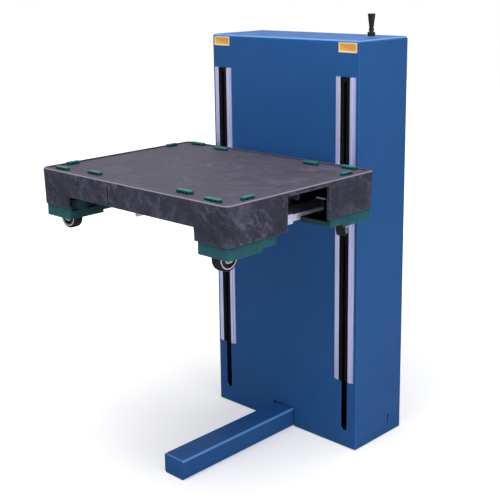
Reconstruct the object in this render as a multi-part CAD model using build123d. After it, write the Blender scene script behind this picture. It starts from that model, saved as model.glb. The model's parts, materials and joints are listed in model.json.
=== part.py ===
from build123d import *

import math
import os

# Column lift table: a floor-standing column whose two forks carry a wheeled dolly as the table top.
# Millimetres, +Z up, origin on the floor under the centre of the column, forks towards -Y.

# Column housing
COLUMN_W = 619.0
COLUMN_D = 244.0
COLUMN_H = 1315.0
SHEET = 3.0
PANEL_LIFT = 2.0
PANEL_EDGE_R = 2.8
CAP_H = 7.5
CAP_EDGE_R = 6.5
REAR_FLANGE = 12.0
SIDE_SLOT_W = 6.0
SIDE_SLOT_H = 49.0
SIDE_SLOT_BACK = 67.0
SIDE_SLOT_LOW = 22.0
BASE_T = 12.0
BASE_GAP = 0.5
ANCHOR_D = 14.0
ANCHOR_X = 170.0
ANCHOR_Y = 95.0

# Leg on the floor
LEG_W = 86.0
LEG_H = 66.0
LEG_REACH = 507.0
LEG_WALL = 5.0
LEG_EDGE_R = 8.0
LEG_TAIL_GAP = 3.0
LEG_CAP_T = 5.0
LEG_CAP_EDGE_R = 3.0
LEG_GAP = 4.0
LEG_NOTCH_GAP = 0.3

# Slots and their seals
SLOT_X = 262.0
SLOT_W = 25.0
SLOT_BOTTOM = 57.0
SLOT_HEAD = 123.0
SEAL_BOTTOM = 230.0
SEAL_HEAD = 110.0
HOLDER_W = 19.0
HOLDER_FOOT_T = 3.0
HOLDER_BEAD_T = 6.5
HOLDER_BEAD_W = 9.0
HOLDER_EDGE_R = 1.0
HOLDER_SPACING = 37.0
SEAL_T = 4.6
SEAL_LIFT = 0.3
SEAL_GAP = 0.5
SEAL_CLOSE = 4.0

# Blank marker plates
MARKER_W = 70.0
MARKER_H = 30.0
MARKER_T = 0.8
MARKER_EDGE = 8.0

# Rear cover details
SCREW_D = 5.0
SCREW_HEAD_D = 9.5
SCREW_HEAD_T = 2.5
SCREW_FIT = 0.05
SCREW_LENGTH = 8.0
SCREW_ROWS = 4
SCREW_MARGIN = 60.0
VENT_ROWS = 6
VENT_W = 120.0
VENT_H = 6.0
VENT_PITCH = 16.0
VENT_BOTTOM = 190.0
GLAND_X = 200.0
GLAND_Z = 70.0
GLAND_D = 24.0
GLAND_THREAD_D = 20.0
GLAND_BORE = 10.0
GLAND_OUT = 18.0
GLAND_IN = 12.0

# Mast channels and guide rollers
CHANNEL_T = 6.0
CHANNEL_DEPTH = 34.0
CHANNEL_HEAD = 65.0
ROLLER_D = 60.0
ROLLER_W = 20.0
ROLLER_STAND = 8.0
ROLLER_GAP = 0.3
ROLLER_CHAMFER = 2.0
ROLLER_LOW = 3.0
ROLLER_SPACING = 125.0
AXLE_D = 16.0
RUN_FIT = 0.05
AXLE_COLLAR_D = 26.0
AXLE_NUT_D = 28.0
AXLE_NUT_T = 8.0
AXLE_CLIP_D = 22.0
AXLE_CLIP_T = 2.0
TIE_T = 12.0

# Carriage and forks
FORK_TOP = 828.0
FORK_T = 20.0
FORK_W = 143.0
FORK_REACH = 511.0
FORK_CLEAR = 9.0
FORK_NOSE_W = 8.0
HEEL_W = 60.0
HEEL_H = 108.0
HEEL_T = 20.0
HEEL_OFF = 12.0
BLOCK_T = 4.0
BLOCK_L = 40.0
BLOCK_RISE = 4.0
BLOCK_DROP = 5.0
BLOCK_REAR = 253.0
WEB_T = 8.0
WEB_DOWN = 38.0
WEB_UP = 157.0
WEB_REAR = 45.0
WEB_INSET = 14.0
PLATE_T = 10.0
PLATE_FRONT = 47.0
PLATE_MARGIN = 10.0
SHELF_T = 12.0
SHELF_W = 120.0
SHELF_DEPTH = 50.0
SHELF_Z = 112.0
GUSSET_T = 8.0
GUSSET_H = 70.0
GUSSET_X = 44.0

# Lift screw and drive
SCREW_ROD_D = 28.0
SCREW_JOURNAL_D = 20.0
SCREW_END_GAP = 2.0
NUT_FLANGE_D = 72.0
NUT_FLANGE_T = 12.0
NUT_BODY_D = 42.0
NUT_BODY_L = 48.0
NUT_BOLT_D = 6.0
NUT_BOLT_HEAD_D = 10.0
NUT_BOLT_HEAD_T = 5.0
NUT_BOLT_CIRCLE = 57.0
DRIVE_PLATE_Z = 50.0
DRIVE_PLATE_T = 10.0
DRIVE_PLATE_MARGIN = 62.0
DRIVE_POST_D = 16.0
DRIVE_POST_INSET = 10.0
BEARING_W = 84.0
BEARING_D = 64.0
BEARING_H = 40.0
TOP_BEARING_H = 26.0
MOTOR_X = 155.0
MOTOR_D = 108.0
MOTOR_H = 165.0
MOTOR_FLANGE_D = 118.0
MOTOR_FLANGE_T = 10.0
MOTOR_SHAFT_D = 18.0
MOTOR_FINS = 12
MOTOR_FIN_T = 2.0
MOTOR_FIN_DEPTH = 3.0
PULLEY_D = 76.0
MOTOR_PULLEY_D = 38.0
PULLEY_W = 22.0
PULLEY_LIFT = 8.0
BELT_T = 4.0
BELT_W = 18.0
BELT_GAP = 0.3

# Control box and limit switches
BOX_X = 160.0
BOX_W = 140.0
BOX_D = 55.0
BOX_H = 260.0
BOX_BOTTOM = 620.0
BOX_WALL = 3.0
LID_T = 3.0
SWITCH_W = 18.0
SWITCH_D = 24.0
SWITCH_H = 50.0
SWITCH_LOW = 60.0
SWITCH_HEAD = 125.0

# Control lever on the cap
LEVER_X = 242.0
LEVER_Y = 25.0
BEZEL_D = 34.0
BEZEL_T = 2.0
COLLAR_D = 24.0
COLLAR_H = 15.0
COLLAR_BORE = 19.0
SOCKET_D = 28.0
SOCKET_DEPTH = 38.0
LEVER_PIVOT = 10.0
LEVER_BALL_D = 18.4
LEVER_NECK_D = 14.0
LEVER_RING_D = 16.5
LEVER_RING_LOW = 19.0
LEVER_RING_TOP = 26.0
LEVER_GRIP_LOW = 29.0
LEVER_GRIP_D = 23.6
LEVER_EDGE_R = 3.0
LEVER_H = 71.5
LEVER_PIN_D = 4.0

# Dolly deck
DOLLY_W = 806.0
DOLLY_D = 614.0
DOLLY_GAP = 38.0
DECK_H = 118.0
DECK_LIFT = 7.0
DECK_DRAFT = 1.5
DECK_CORNER_R = 22.0
DECK_EDGE_R = 6.0
DECK_SKIN = 14.0
DECK_WALL = 8.0
RIM_W = 14.0
RIM_H = 3.0
POST_W = 127.0
POST_FRONT_L = 230.0
POST_REAR_L = 211.0
CORE_D = 80.0
ARCH_DROP = 74.5
RUNNER_OFF = 25.0
RUNNER_W = 36.0
RUNNER_FRONT = 125.0
RIB_T = 8.0
RIB_Y = 110.0
SEAM_X = 79.5
SEAM_W = 5.0
SEAM_DEPTH = 4.0

# Grip pads on the deck
PAD_L = 54.0
PAD_W = 14.0
PAD_H = 9.0
PAD_PITCH = 12.0
PAD_NOTCH_W = 7.0
PAD_NOTCH_H = 5.0
PAD_INNER_INSET = 208.0
PAD_OUTER_INSET = 77.0
PAD_INNER_EDGE = 48.0
PAD_OUTER_EDGE = 27.0
PAD_SIDE_L = 40.0
PAD_SIDE_Y = 205.0

# Casters
CASTER_INSET = 67.0
CASTER_H = 94.0
CASTER_CEILING = 19.0
BOOT_W = 114.0
BOOT_DROP = 37.0
BOOT_REACH = 70.0
BOOT_TAIL = 58.0
BOOT_TRAY = 24.0
BOOT_RIM = 10.0
CUP_WALL = 4.0
BOOT_TAIL_STEP = 9.0
BOOT_SKIN = 6.0
BOOT_EDGE_R = 4.0
BOOT_FIT = 0.3
SWIVEL_ROOM = 1.2
WHEEL_D = 75.0
WHEEL_W = 30.0
WHEEL_EDGE_R = 5.0
HUB_D = 50.0
HUB_W = 25.0
HUB_BOSS_D = 18.0
CASTER_TRAIL = 12.0
CASTER_PLATE = 58.0
CASTER_PLATE_T = 3.0
CASTER_RACE_D = 46.0
CASTER_RACE_H = 8.0
CASTER_CROWN_T = 4.0
CASTER_CROWN_W = 44.0
CASTER_LEG_T = 3.0
CASTER_LEG_GAP = 2.0
CASTER_LEG_END_R = 13.0
CASTER_AXLE_D = 8.0
CASTER_AXLE_HEAD_D = 13.0
CASTER_AXLE_HEAD_T = 4.0
KINGPIN_D = 12.0
KINGPIN_HEAD_D = 20.0
KINGPIN_HEAD_T = 2.5
TURN_GAP = 0.3

# Yaw of each caster as it stands, degrees about +Z
CASTER_YAW = {"front_left": -90.0, "front_right": 0.0, "rear_left": 200.0, "rear_right": 30.0}

# Values worked out from the ones above
FRONT = -COLUMN_D / 2
REAR = COLUMN_D / 2
SIDE = COLUMN_W / 2
PANEL_TOP = COLUMN_H - CAP_H
INNER_X = SIDE - SHEET
LEG_INSIDE = PLATE_FRONT - LEG_TAIL_GAP
SLOT_TOP = COLUMN_H - SLOT_HEAD
SEAL_TOP = COLUMN_H - SEAL_HEAD
WEB_IN = SLOT_X - WEB_T / 2
WEB_OUT = SLOT_X + WEB_T / 2
FORK_BOTTOM = FORK_TOP - FORK_T
FORK_OUT = DOLLY_W / 2 - CASTER_INSET - BOOT_W / 2 - FORK_CLEAR - BLOCK_T
FORK_IN = FORK_OUT - FORK_W
HEEL_REAR = FRONT - HEEL_OFF
ROLLER_FACE = WEB_OUT + ROLLER_STAND
ROLLER_Z = (FORK_TOP - ROLLER_LOW, FORK_TOP - ROLLER_LOW + ROLLER_SPACING)
CHANNEL_TOP = COLUMN_H - CHANNEL_HEAD
TIE_TOP = CHANNEL_TOP + TIE_T
SHELF_TOP = FORK_TOP + SHELF_Z + SHELF_T
DRIVE_PLATE_TOP = DRIVE_PLATE_Z + DRIVE_PLATE_T
PULLEY_BOTTOM = BASE_T + PULLEY_LIFT
SCREW_TOP = TIE_TOP + TOP_BEARING_H - SCREW_END_GAP
DOLLY_Y = FRONT - DOLLY_GAP - DOLLY_D / 2
DECK_TOP = FORK_TOP + DECK_H
DECK_BOTTOM = FORK_TOP + DECK_LIFT
DECK_UNDER = DECK_TOP - DECK_SKIN
ARCH_Z = DECK_TOP - ARCH_DROP
CASTER_TOP = FORK_TOP + CASTER_CEILING
AXLE_Z = CASTER_TOP - CASTER_H + WHEEL_D / 2
BOOT_BOTTOM = DECK_BOTTOM - BOOT_DROP
BOOT_TOP = CASTER_TOP + BOOT_SKIN
LEG_IN = WHEEL_W / 2 + CASTER_LEG_GAP
LEG_OUT = LEG_IN + CASTER_LEG_T
SWEEP_R = math.hypot(WHEEL_D / 2 + CASTER_TRAIL, WHEEL_W / 2) + SWIVEL_ROOM
CUP_R = SWEEP_R + CUP_WALL
CORNERS = {"front_left": (-1, -1), "front_right": (1, -1), "rear_left": (-1, 1), "rear_right": (1, 1)}


def block(x, y, z):
    """Box between the low and high limits given for each axis."""
    middle = Pos((x[0] + x[1]) / 2, (y[0] + y[1]) / 2, (z[0] + z[1]) / 2)
    return middle * Box(abs(x[1] - x[0]), abs(y[1] - y[0]), z[1] - z[0])


def rod_z(diameter, z, x=0.0, y=0.0):
    return Pos(x, y, (z[0] + z[1]) / 2) * Cylinder(diameter / 2, z[1] - z[0])


def rod_x(diameter, x, y, z):
    return Pos((x[0] + x[1]) / 2, y, z) * Rot(0, 90, 0) * Cylinder(diameter / 2, abs(x[1] - x[0]))


def rod_y(diameter, y, x, z):
    return Pos(x, (y[0] + y[1]) / 2, z) * Rot(90, 0, 0) * Cylinder(diameter / 2, abs(y[1] - y[0]))


def sided(sign, near, far):
    """The limits from near to far on the side of the middle plane that sign gives."""
    return tuple(sorted((sign * near, sign * far)))


def group(solids):
    """Separate solids kept together as one node."""
    return Compound(children=[solid for part in solids for solid in part.solids()])


def base_plate():
    edge_x = INNER_X - BASE_GAP
    edge_y = REAR - SHEET - BASE_GAP
    plate = block((-edge_x, edge_x), (-edge_y, edge_y), (0, BASE_T))
    notch_x = LEG_W / 2 + LEG_NOTCH_GAP
    plate -= block((-notch_x, notch_x), (FRONT, FRONT + LEG_INSIDE + LEG_NOTCH_GAP), (0, BASE_T))
    for x in (-ANCHOR_X, ANCHOR_X):
        for y in (-ANCHOR_Y, ANCHOR_Y):
            plate -= rod_z(ANCHOR_D, (0, BASE_T), x, y)
    return plate


def leg_tube():
    tip = FRONT - LEG_REACH + LEG_CAP_T
    tail = FRONT + LEG_INSIDE
    tube = block((-LEG_W / 2, LEG_W / 2), (tip, tail), (0, LEG_H))
    tube = fillet(tube.edges().filter_by(Axis.Y), LEG_EDGE_R)
    inside_x = LEG_W / 2 - LEG_WALL
    hollow = block((-inside_x, inside_x), (tip, tail), (LEG_WALL, LEG_H - LEG_WALL))
    return tube - fillet(hollow.edges().filter_by(Axis.Y), LEG_EDGE_R - LEG_WALL)


def leg_end_cap():
    tip = FRONT - LEG_REACH
    cap = block((-LEG_W / 2, LEG_W / 2), (tip, tip + LEG_CAP_T), (0, LEG_H))
    cap = fillet(cap.edges().filter_by(Axis.Y), LEG_EDGE_R)
    return fillet(cap.faces().sort_by(Axis.Y)[0].edges(), LEG_CAP_EDGE_R)


def slot_cut(sign):
    radius = SLOT_W / 2
    depth = (FRONT - SHEET, FRONT + 2 * SHEET)
    x = (sign * SLOT_X - radius, sign * SLOT_X + radius)
    cut = block(x, depth, (SLOT_BOTTOM + radius, SLOT_TOP - radius))
    for z in (SLOT_BOTTOM + radius, SLOT_TOP - radius):
        cut += rod_y(SLOT_W, depth, sign * SLOT_X, z)
    return cut


def front_panel():
    panel = block((-SIDE, SIDE), (FRONT, FRONT + SHEET), (PANEL_LIFT, PANEL_TOP))
    outer = panel.edges().filter_by(Axis.Z).group_by(Axis.Y)[0]
    panel = fillet(outer, PANEL_EDGE_R)
    for sign in (-1, 1):
        panel -= slot_cut(sign)
    leg_x = LEG_W / 2 + LEG_GAP
    return panel - block((-leg_x, leg_x), (FRONT - SHEET, FRONT + 2 * SHEET), (0, LEG_H + LEG_GAP))


def screw_heights():
    low = SCREW_MARGIN
    high = PANEL_TOP - SCREW_MARGIN
    return [low + i * (high - low) / (SCREW_ROWS - 1) for i in range(SCREW_ROWS)]


def screw_x():
    return INNER_X - REAR_FLANGE / 2


def side_panel(sign):
    z = (PANEL_LIFT, PANEL_TOP)
    panel = block(sided(sign, INNER_X, SIDE), (FRONT + SHEET, REAR), z)
    flange_y = (REAR - 2 * SHEET, REAR - SHEET)
    panel += block(sided(sign, INNER_X - REAR_FLANGE, INNER_X), flange_y, (BASE_T, PANEL_TOP))
    for height in screw_heights():
        panel -= rod_y(SCREW_D + 2 * SCREW_FIT, flange_y, sign * screw_x(), height)
    return panel - side_slot(sign)


def side_slot(sign):
    """Round-ended slit low on the side panel."""
    x = sided(sign, INNER_X, SIDE)
    y = REAR - SIDE_SLOT_BACK
    radius = SIDE_SLOT_W / 2
    ends = (SIDE_SLOT_LOW + radius, SIDE_SLOT_LOW + SIDE_SLOT_H - radius)
    cut = block(x, (y - radius, y + radius), ends)
    for z in ends:
        cut += rod_x(SIDE_SLOT_W, x, y, z)
    return cut


def rear_panel():
    edge = INNER_X - BASE_GAP
    y = (REAR - SHEET, REAR)
    panel = block((-edge, edge), y, (PANEL_LIFT, PANEL_TOP))
    for sign in (-1, 1):
        for height in screw_heights():
            panel -= rod_y(SCREW_D + 2 * SCREW_FIT, y, sign * screw_x(), height)
    for row in range(VENT_ROWS):
        z = VENT_BOTTOM + row * VENT_PITCH
        panel -= block((-VENT_W / 2, VENT_W / 2), y, (z, z + VENT_H))
    return panel - rod_y(GLAND_THREAD_D + 2 * SCREW_FIT, y, GLAND_X, GLAND_Z)


def cover_screws():
    screws = []
    for sign in (-1, 1):
        for height in screw_heights():
            shank = rod_y(SCREW_D, (REAR - SCREW_LENGTH, REAR), sign * screw_x(), height)
            head = rod_y(SCREW_HEAD_D, (REAR, REAR + SCREW_HEAD_T), sign * screw_x(), height)
            screws.append(shank + head)
    return group(screws)


def top_cover():
    cap = block((-SIDE, SIDE), (FRONT, REAR), (PANEL_TOP, COLUMN_H))
    cap = fillet(cap.edges().filter_by(Axis.Z), PANEL_EDGE_R)
    cap = fillet(cap.faces().sort_by(Axis.Z)[-1].edges(), CAP_EDGE_R)
    pocket_x = SIDE - 2 * SHEET
    pocket_y = REAR - 2 * SHEET
    cap -= block((-pocket_x, pocket_x), (-pocket_y, pocket_y), (PANEL_TOP, COLUMN_H - SHEET))
    return cap - rod_z(SOCKET_D + 2 * SCREW_FIT, (PANEL_TOP, COLUMN_H), LEVER_X, LEVER_Y)


def marker_plates():
    plates = []
    z = (PANEL_TOP - MARKER_H, PANEL_TOP)
    for sign in (-1, 1):
        x = sided(sign, SIDE - MARKER_EDGE - MARKER_W, SIDE - MARKER_EDGE)
        plates.append(block(x, (FRONT - MARKER_T, FRONT), z))
    return group(plates)


def holder_profile(sign, side):
    """One seal strip: a flat foot on the panel with a raised bead along the seal."""
    inner = sign * SLOT_X + side * HOLDER_SPACING / 2
    outer = inner + side * HOLDER_W
    step = inner + side * HOLDER_BEAD_W
    z = (SEAL_BOTTOM, SEAL_TOP)
    bead = block(tuple(sorted((inner, step))), (FRONT - HOLDER_BEAD_T, FRONT), z)
    bead = fillet(bead.edges().filter_by(Axis.Z).group_by(Axis.Y)[0], HOLDER_EDGE_R)
    foot = block(tuple(sorted((step, outer))), (FRONT - HOLDER_FOOT_T, FRONT), z)
    return bead + foot


def seal_holders():
    return group([holder_profile(sign, side) for sign in (-1, 1) for side in (-1, 1)])


def slot_seals():
    """Two lips along each slot, joined above the slot's head."""
    seals = []
    y = (FRONT - SEAL_LIFT - SEAL_T, FRONT - SEAL_LIFT)
    lip = WEB_T / 2 + SEAL_GAP
    root = HOLDER_SPACING / 2
    for sign in (-1, 1):
        centre = sign * SLOT_X
        seal = block((centre - root, centre + root), y, (SEAL_BOTTOM, SEAL_TOP))
        seals.append(seal - block((centre - lip, centre + lip), y, (SEAL_BOTTOM, SLOT_TOP - SEAL_CLOSE)))
    return group(seals)


def mast_channel(sign):
    """Upright channel, open towards the middle, that the guide rollers run in."""
    z = (BASE_T, CHANNEL_TOP)
    reach = ROLLER_D / 2 + ROLLER_GAP
    back = block(sided(sign, INNER_X - CHANNEL_T, INNER_X), (-reach - CHANNEL_T, reach + CHANNEL_T), z)
    flange_x = sided(sign, INNER_X - CHANNEL_DEPTH, INNER_X - CHANNEL_T)
    for y in ((-reach - CHANNEL_T, -reach), (reach, reach + CHANNEL_T)):
        back += block(flange_x, y, z)
    return back


def mast_top_tie():
    reach = ROLLER_D / 2 + ROLLER_GAP + CHANNEL_T
    tie = block((-INNER_X, INNER_X), (-reach, reach), (CHANNEL_TOP, TIE_TOP))
    return tie - rod_z(SCREW_ROD_D + 2 * RUN_FIT, (CHANNEL_TOP, TIE_TOP))


def drive_bracket():
    """Raised plate over the belt that carries the motor and the lower screw bearing."""
    x = (-MOTOR_X - DRIVE_PLATE_MARGIN, DRIVE_PLATE_MARGIN - DRIVE_POST_INSET)
    y = (-DRIVE_PLATE_MARGIN + DRIVE_POST_INSET, DRIVE_PLATE_MARGIN)
    plate = block(x, y, (DRIVE_PLATE_Z, DRIVE_PLATE_TOP))
    for post_x in (x[0] + DRIVE_POST_INSET, x[1] - DRIVE_POST_INSET):
        for post_y in (y[0] + DRIVE_POST_INSET, y[1] - DRIVE_POST_INSET):
            plate += rod_z(DRIVE_POST_D, (BASE_T, DRIVE_PLATE_Z), post_x, post_y)
    plate -= rod_z(SCREW_ROD_D + 2 * RUN_FIT, (DRIVE_PLATE_Z, DRIVE_PLATE_TOP))
    return plate - rod_z(MOTOR_SHAFT_D + 2 * RUN_FIT, (DRIVE_PLATE_Z, DRIVE_PLATE_TOP), -MOTOR_X)


def screw_bearings():
    """Blocks that hold the two ends of the screw, on the drive bracket and on the mast tie."""
    lower = (DRIVE_PLATE_TOP, DRIVE_PLATE_TOP + BEARING_H)
    upper = (TIE_TOP, TIE_TOP + TOP_BEARING_H)
    x = (-BEARING_W / 2, BEARING_W / 2)
    y = (-BEARING_D / 2, BEARING_D / 2)
    blocks = []
    for z, bore in ((lower, SCREW_ROD_D), (upper, SCREW_JOURNAL_D)):
        blocks.append(block(x, y, z) - rod_z(bore + 2 * RUN_FIT, z))
    return group(blocks)


def motor():
    flange_z = (DRIVE_PLATE_TOP, DRIVE_PLATE_TOP + MOTOR_FLANGE_T)
    body_z = (flange_z[1], flange_z[1] + MOTOR_H)
    case = rod_z(MOTOR_D, body_z, -MOTOR_X)
    for i in range(MOTOR_FINS):
        z = body_z[0] + (i + 1) * MOTOR_H / (MOTOR_FINS + 1)
        groove_z = (z - MOTOR_FIN_T / 2, z + MOTOR_FIN_T / 2)
        ring = rod_z(MOTOR_D + 1, groove_z, -MOTOR_X)
        case -= ring - rod_z(MOTOR_D - 2 * MOTOR_FIN_DEPTH, groove_z, -MOTOR_X)
    case += rod_z(MOTOR_FLANGE_D, flange_z, -MOTOR_X)
    bore_z = (DRIVE_PLATE_TOP, DRIVE_PLATE_TOP + MOTOR_FLANGE_T)
    return case - rod_z(MOTOR_SHAFT_D + 2 * RUN_FIT, bore_z, -MOTOR_X)


def motor_pulley():
    z = (PULLEY_BOTTOM, PULLEY_BOTTOM + PULLEY_W)
    shaft = rod_z(MOTOR_SHAFT_D, (z[1], DRIVE_PLATE_TOP + MOTOR_FLANGE_T - TURN_GAP), -MOTOR_X)
    return rod_z(MOTOR_PULLEY_D, z, -MOTOR_X) + shaft


def screw_pulley():
    z = (PULLEY_BOTTOM, PULLEY_BOTTOM + PULLEY_W)
    return rod_z(PULLEY_D, z) - rod_z(SCREW_JOURNAL_D, z)


def drive_belt():
    middle = PULLEY_BOTTOM + PULLEY_W / 2

    def loop(extra):
        screw_end = Circle(PULLEY_D / 2 + extra)
        motor_end = Pos(-MOTOR_X, 0) * Circle(MOTOR_PULLEY_D / 2 + extra)
        sketch = make_hull([screw_end.edge(), motor_end.edge()])
        return Pos(0, 0, middle - BELT_W / 2) * extrude(sketch, BELT_W)

    return loop(BELT_GAP + BELT_T) - loop(BELT_GAP)


def lift_screw():
    lower = rod_z(SCREW_JOURNAL_D, (PULLEY_BOTTOM, DRIVE_PLATE_Z))
    thread = rod_z(SCREW_ROD_D, (DRIVE_PLATE_Z, TIE_TOP))
    upper = rod_z(SCREW_JOURNAL_D, (TIE_TOP, SCREW_TOP))
    return lower + thread + upper


def nut_bolt_places():
    radius = NUT_BOLT_CIRCLE / 2
    angles = [math.radians(45 + 90 * i) for i in range(4)]
    return [(radius * math.cos(a), radius * math.sin(a)) for a in angles]


def lift_nut():
    flange_z = (SHELF_TOP, SHELF_TOP + NUT_FLANGE_T)
    nut = rod_z(NUT_FLANGE_D, flange_z) + rod_z(NUT_BODY_D, (SHELF_TOP - NUT_BODY_L, SHELF_TOP))
    for x, y in nut_bolt_places():
        nut -= rod_z(NUT_BOLT_D + 2 * SCREW_FIT, flange_z, x, y)
    return nut - rod_z(SCREW_ROD_D + 2 * RUN_FIT, (SHELF_TOP - NUT_BODY_L, flange_z[1]))


def carriage_bolts():
    bolts = []
    head_z = (SHELF_TOP + NUT_FLANGE_T, SHELF_TOP + NUT_FLANGE_T + NUT_BOLT_HEAD_T)
    for x, y in nut_bolt_places():
        shank = rod_z(NUT_BOLT_D, (SHELF_TOP - SHELF_T, head_z[0]), x, y)
        bolts.append(shank + rod_z(NUT_BOLT_HEAD_D, head_z, x, y))
    return group(bolts)


def carriage_plate():
    """Cross plate behind the front panel with the shelf that the nut is bolted to."""
    front = FRONT + PLATE_FRONT
    rear = front + PLATE_T
    z = (FORK_TOP - WEB_DOWN + PLATE_MARGIN, FORK_TOP + WEB_UP - PLATE_MARGIN)
    plate = block((-WEB_IN, WEB_IN), (front, rear), z)
    shelf_z = (SHELF_TOP - SHELF_T, SHELF_TOP)
    plate += block((-SHELF_W / 2, SHELF_W / 2), (rear, SHELF_DEPTH), shelf_z)
    for sign in (-1, 1):
        gusset = sided(sign, GUSSET_X, GUSSET_X + GUSSET_T)
        plate += block(gusset, (rear, SHELF_DEPTH), (shelf_z[0] - GUSSET_H, shelf_z[0]))
    plate -= rod_z(NUT_BODY_D + 2 * RUN_FIT, shelf_z)
    for x, y in nut_bolt_places():
        plate -= rod_z(NUT_BOLT_D + 2 * SCREW_FIT, shelf_z, x, y)
    return plate


def carriage_side(sign):
    """Side plate with a tongue that reaches out through the slot to the fork."""
    x = sided(sign, WEB_IN, WEB_OUT)
    tongue = block(x, (HEEL_REAR, FRONT + WEB_INSET), (FORK_TOP, FORK_TOP + HEEL_H))
    body = block(x, (FRONT + WEB_INSET, WEB_REAR), (FORK_TOP - WEB_DOWN, FORK_TOP + WEB_UP))
    side = tongue + body
    for z in ROLLER_Z:
        side -= rod_x(AXLE_D + 2 * RUN_FIT, x, 0, z)
    return side


def roller_axles():
    axles = []
    for sign in (-1, 1):
        for z in ROLLER_Z:
            tip = ROLLER_FACE + ROLLER_W + TURN_GAP
            axle = rod_x(AXLE_D, sided(sign, WEB_IN, tip), 0, z)
            axle += rod_x(AXLE_NUT_D, sided(sign, WEB_IN - AXLE_NUT_T, WEB_IN), 0, z)
            axle += rod_x(AXLE_COLLAR_D, sided(sign, WEB_OUT, ROLLER_FACE - TURN_GAP), 0, z)
            axle += rod_x(AXLE_CLIP_D, sided(sign, tip, tip + AXLE_CLIP_T), 0, z)
            axles.append(axle)
    return group(axles)


def guide_roller(sign, z):
    x = sided(sign, ROLLER_FACE, ROLLER_FACE + ROLLER_W)
    roller = chamfer(rod_x(ROLLER_D, x, 0, z).edges(), ROLLER_CHAMFER)
    return roller - rod_x(AXLE_D + 2 * RUN_FIT, x, 0, z)


def fork(sign):
    """Fork blade with a slanting tip, a heel that meets the tongue, and a stop block on its outer edge."""
    tip = FRONT - FORK_REACH
    blade = block(sided(sign, FORK_IN, FORK_OUT), (tip, HEEL_REAR), (FORK_BOTTOM, FORK_TOP))
    corners = blade.edges().filter_by(Axis.Z).group_by(Axis.Y)[0].sort_by(Axis.X)
    outer = corners[-1] if sign > 0 else corners[0]
    blade = chamfer(outer, FORK_W - FORK_NOSE_W)
    heel_y = (HEEL_REAR - HEEL_T, HEEL_REAR)
    heel_x = sided(sign, min(FORK_OUT - HEEL_W, WEB_IN), max(FORK_OUT, WEB_OUT))
    blade += block(heel_x, heel_y, (FORK_TOP, FORK_TOP + HEEL_H))
    block_y = (FRONT - BLOCK_REAR - BLOCK_L, FRONT - BLOCK_REAR)
    block_z = (FORK_BOTTOM - BLOCK_DROP, FORK_TOP + BLOCK_RISE)
    stop = block(sided(sign, FORK_OUT, FORK_OUT + BLOCK_T), block_y, block_z)
    return blade + stop


def control_box():
    y = (REAR - SHEET - BOX_D, REAR - SHEET)
    x = (BOX_X - BOX_W / 2, BOX_X + BOX_W / 2)
    z = (BOX_BOTTOM, BOX_BOTTOM + BOX_H)
    inner_x = (x[0] + BOX_WALL, x[1] - BOX_WALL)
    inner_z = (z[0] + BOX_WALL, z[1] - BOX_WALL)
    return block(x, y, z) - block(inner_x, (y[0], y[1] - BOX_WALL), inner_z)


def control_box_lid():
    y = REAR - SHEET - BOX_D
    x = (BOX_X - BOX_W / 2, BOX_X + BOX_W / 2)
    return block(x, (y - LID_T, y), (BOX_BOTTOM, BOX_BOTTOM + BOX_H))


def limit_switches():
    """One switch at each end of the travel, on the front flange of the right channel."""
    rear = -ROLLER_D / 2 - ROLLER_GAP - CHANNEL_T
    x = (INNER_X - CHANNEL_T - SWITCH_W, INNER_X - CHANNEL_T)
    y = (rear - SWITCH_D, rear)
    return group([block(x, y, (z, z + SWITCH_H)) for z in (SWITCH_LOW, COLUMN_H - SWITCH_HEAD)])


def cable_gland():
    thread = rod_y(GLAND_THREAD_D, (REAR - SHEET - GLAND_IN, REAR), GLAND_X, GLAND_Z)
    nut = rod_y(GLAND_D, (REAR, REAR + GLAND_OUT), GLAND_X, GLAND_Z)
    nut = fillet(nut.edges().sort_by(Axis.Y)[-1], SCREW_HEAD_T)
    whole = (REAR - SHEET - GLAND_IN, REAR + GLAND_OUT)
    return thread + nut - rod_y(GLAND_BORE, whole, GLAND_X, GLAND_Z)


def lever_bezel():
    z = (COLUMN_H, COLUMN_H + BEZEL_T)
    ring = rod_z(BEZEL_D, z, LEVER_X, LEVER_Y)
    return ring - rod_z(COLLAR_D + 2 * SCREW_FIT, z, LEVER_X, LEVER_Y)


def lever_socket():
    """Collar above the cap and switch body below it, with the pin that the lever turns on."""
    top = COLUMN_H + COLLAR_H
    collar = rod_z(COLLAR_D, (COLUMN_H, top), LEVER_X, LEVER_Y)
    collar += rod_z(SOCKET_D, (COLUMN_H - SOCKET_DEPTH, COLUMN_H), LEVER_X, LEVER_Y)
    ball_room = COLUMN_H + LEVER_PIVOT - LEVER_BALL_D / 2 - TURN_GAP
    collar -= rod_z(COLLAR_BORE, (ball_room, top), LEVER_X, LEVER_Y)
    pin_x = (LEVER_X - COLLAR_BORE / 2, LEVER_X + COLLAR_BORE / 2)
    pin = rod_x(LEVER_PIN_D, pin_x, LEVER_Y, COLUMN_H + LEVER_PIVOT)
    return group([collar, pin])


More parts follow.
